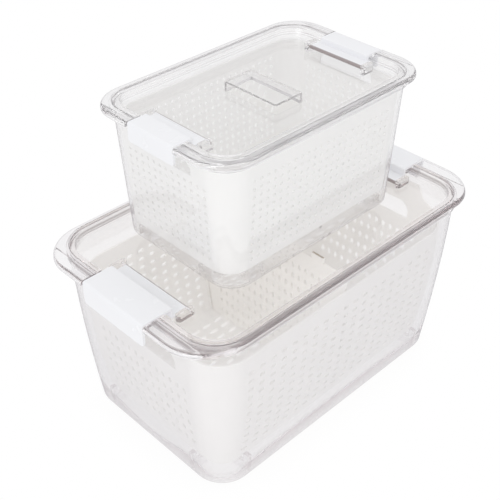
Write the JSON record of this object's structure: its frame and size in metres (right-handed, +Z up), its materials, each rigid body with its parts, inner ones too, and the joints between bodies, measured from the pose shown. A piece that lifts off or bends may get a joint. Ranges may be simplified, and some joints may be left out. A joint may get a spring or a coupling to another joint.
{
  "type": "fridge bin",
  "caption": "Stacking fridge bins: clear tubs with recessed clip-down lids, perforated drain baskets and a removable divider.",
  "frame": {"origin": "centre of the large tub's base, on the surface it stands on", "axes": "+Z up; +X along the bins towards the rear clips; +Y across the bins"},
  "size_m": [0.32, 0.192, 0.2743],
  "materials": {
    "clear_plastic": "clear moulded plastic, smooth and glossy",
    "white_basket_plastic": "white moulded plastic, satin",
    "white_clip_plastic": "white moulded plastic, soft gloss"
  },
  "bodies": {
    "large_tub": {"large_tub": "clear_plastic"},
    "large_basket": {"large_basket": "white_basket_plastic"},
    "large_divider": {"large_divider": "white_basket_plastic"},
    "large_lid": {"large_lid": "clear_plastic"},
    "large_clip_front": {"large_clip_front": "white_clip_plastic"},
    "large_clip_rear": {"large_clip_rear": "white_clip_plastic"},
    "small_tub": {"small_tub": "clear_plastic"},
    "small_basket": {"small_basket": "white_basket_plastic"},
    "small_lid": {"small_lid": "clear_plastic"},
    "small_clip_front": {"small_clip_front": "white_clip_plastic"},
    "small_clip_rear": {"small_clip_rear": "white_clip_plastic"}
  },
  "joints": [
    {"name": "large_lid_lift", "type": "slide", "parent": "large_tub", "child": "large_lid", "axis": [0, 0, 1], "range_m": [0, 0.3]},
    {"name": "large_basket_lift", "type": "slide", "parent": "large_tub", "child": "large_basket", "axis": [0, 0, 1], "range_m": [0, 0.15]},
    {"name": "large_divider_lift", "type": "slide", "parent": "large_basket", "child": "large_divider", "axis": [0, 0, 1], "range_m": [0, 0.12]},
    {"name": "large_clip_front_hinge", "type": "hinge", "parent": "large_lid", "child": "large_clip_front", "pos_m": [-0.119, 0, 0.1524], "axis": [0, 1, 0], "range_deg": [0, 95]},
    {"name": "large_clip_rear_hinge", "type": "hinge", "parent": "large_lid", "child": "large_clip_rear", "pos_m": [0.119, 0, 0.1524], "axis": [0, -1, 0], "range_deg": [0, 95]},
    {"name": "small_tub_lift", "type": "slide", "parent": "large_lid", "child": "small_tub", "axis": [0, 0, 1], "range_m": [0, 0.08]},
    {"name": "small_lid_lift", "type": "slide", "parent": "small_tub", "child": "small_lid", "axis": [0, 0, 1], "range_m": [0, 0.22]},
    {"name": "small_basket_lift", "type": "slide", "parent": "small_tub", "child": "small_basket", "axis": [0, 0, 1], "range_m": [0, 0.11]},
    {"name": "small_clip_front_hinge", "type": "hinge", "parent": "small_lid", "child": "small_clip_front", "pos_m": [-0.0819, 0.0062, 0.269], "axis": [0, 1, 0], "range_deg": [0, 95]},
    {"name": "small_clip_rear_hinge", "type": "hinge", "parent": "small_lid", "child": "small_clip_rear", "pos_m": [0.0781, 0.0062, 0.269], "axis": [0, -1, 0], "range_deg": [0, 95]}
  ],
  "couplings": [
    {"joint": "large_basket_lift", "follows": "large_lid_lift", "ratio": 0.5},
    {"joint": "large_divider_lift", "follows": "large_lid_lift", "ratio": 0.4},
    {"joint": "small_basket_lift", "follows": "small_lid_lift", "ratio": 0.5}
  ]
}
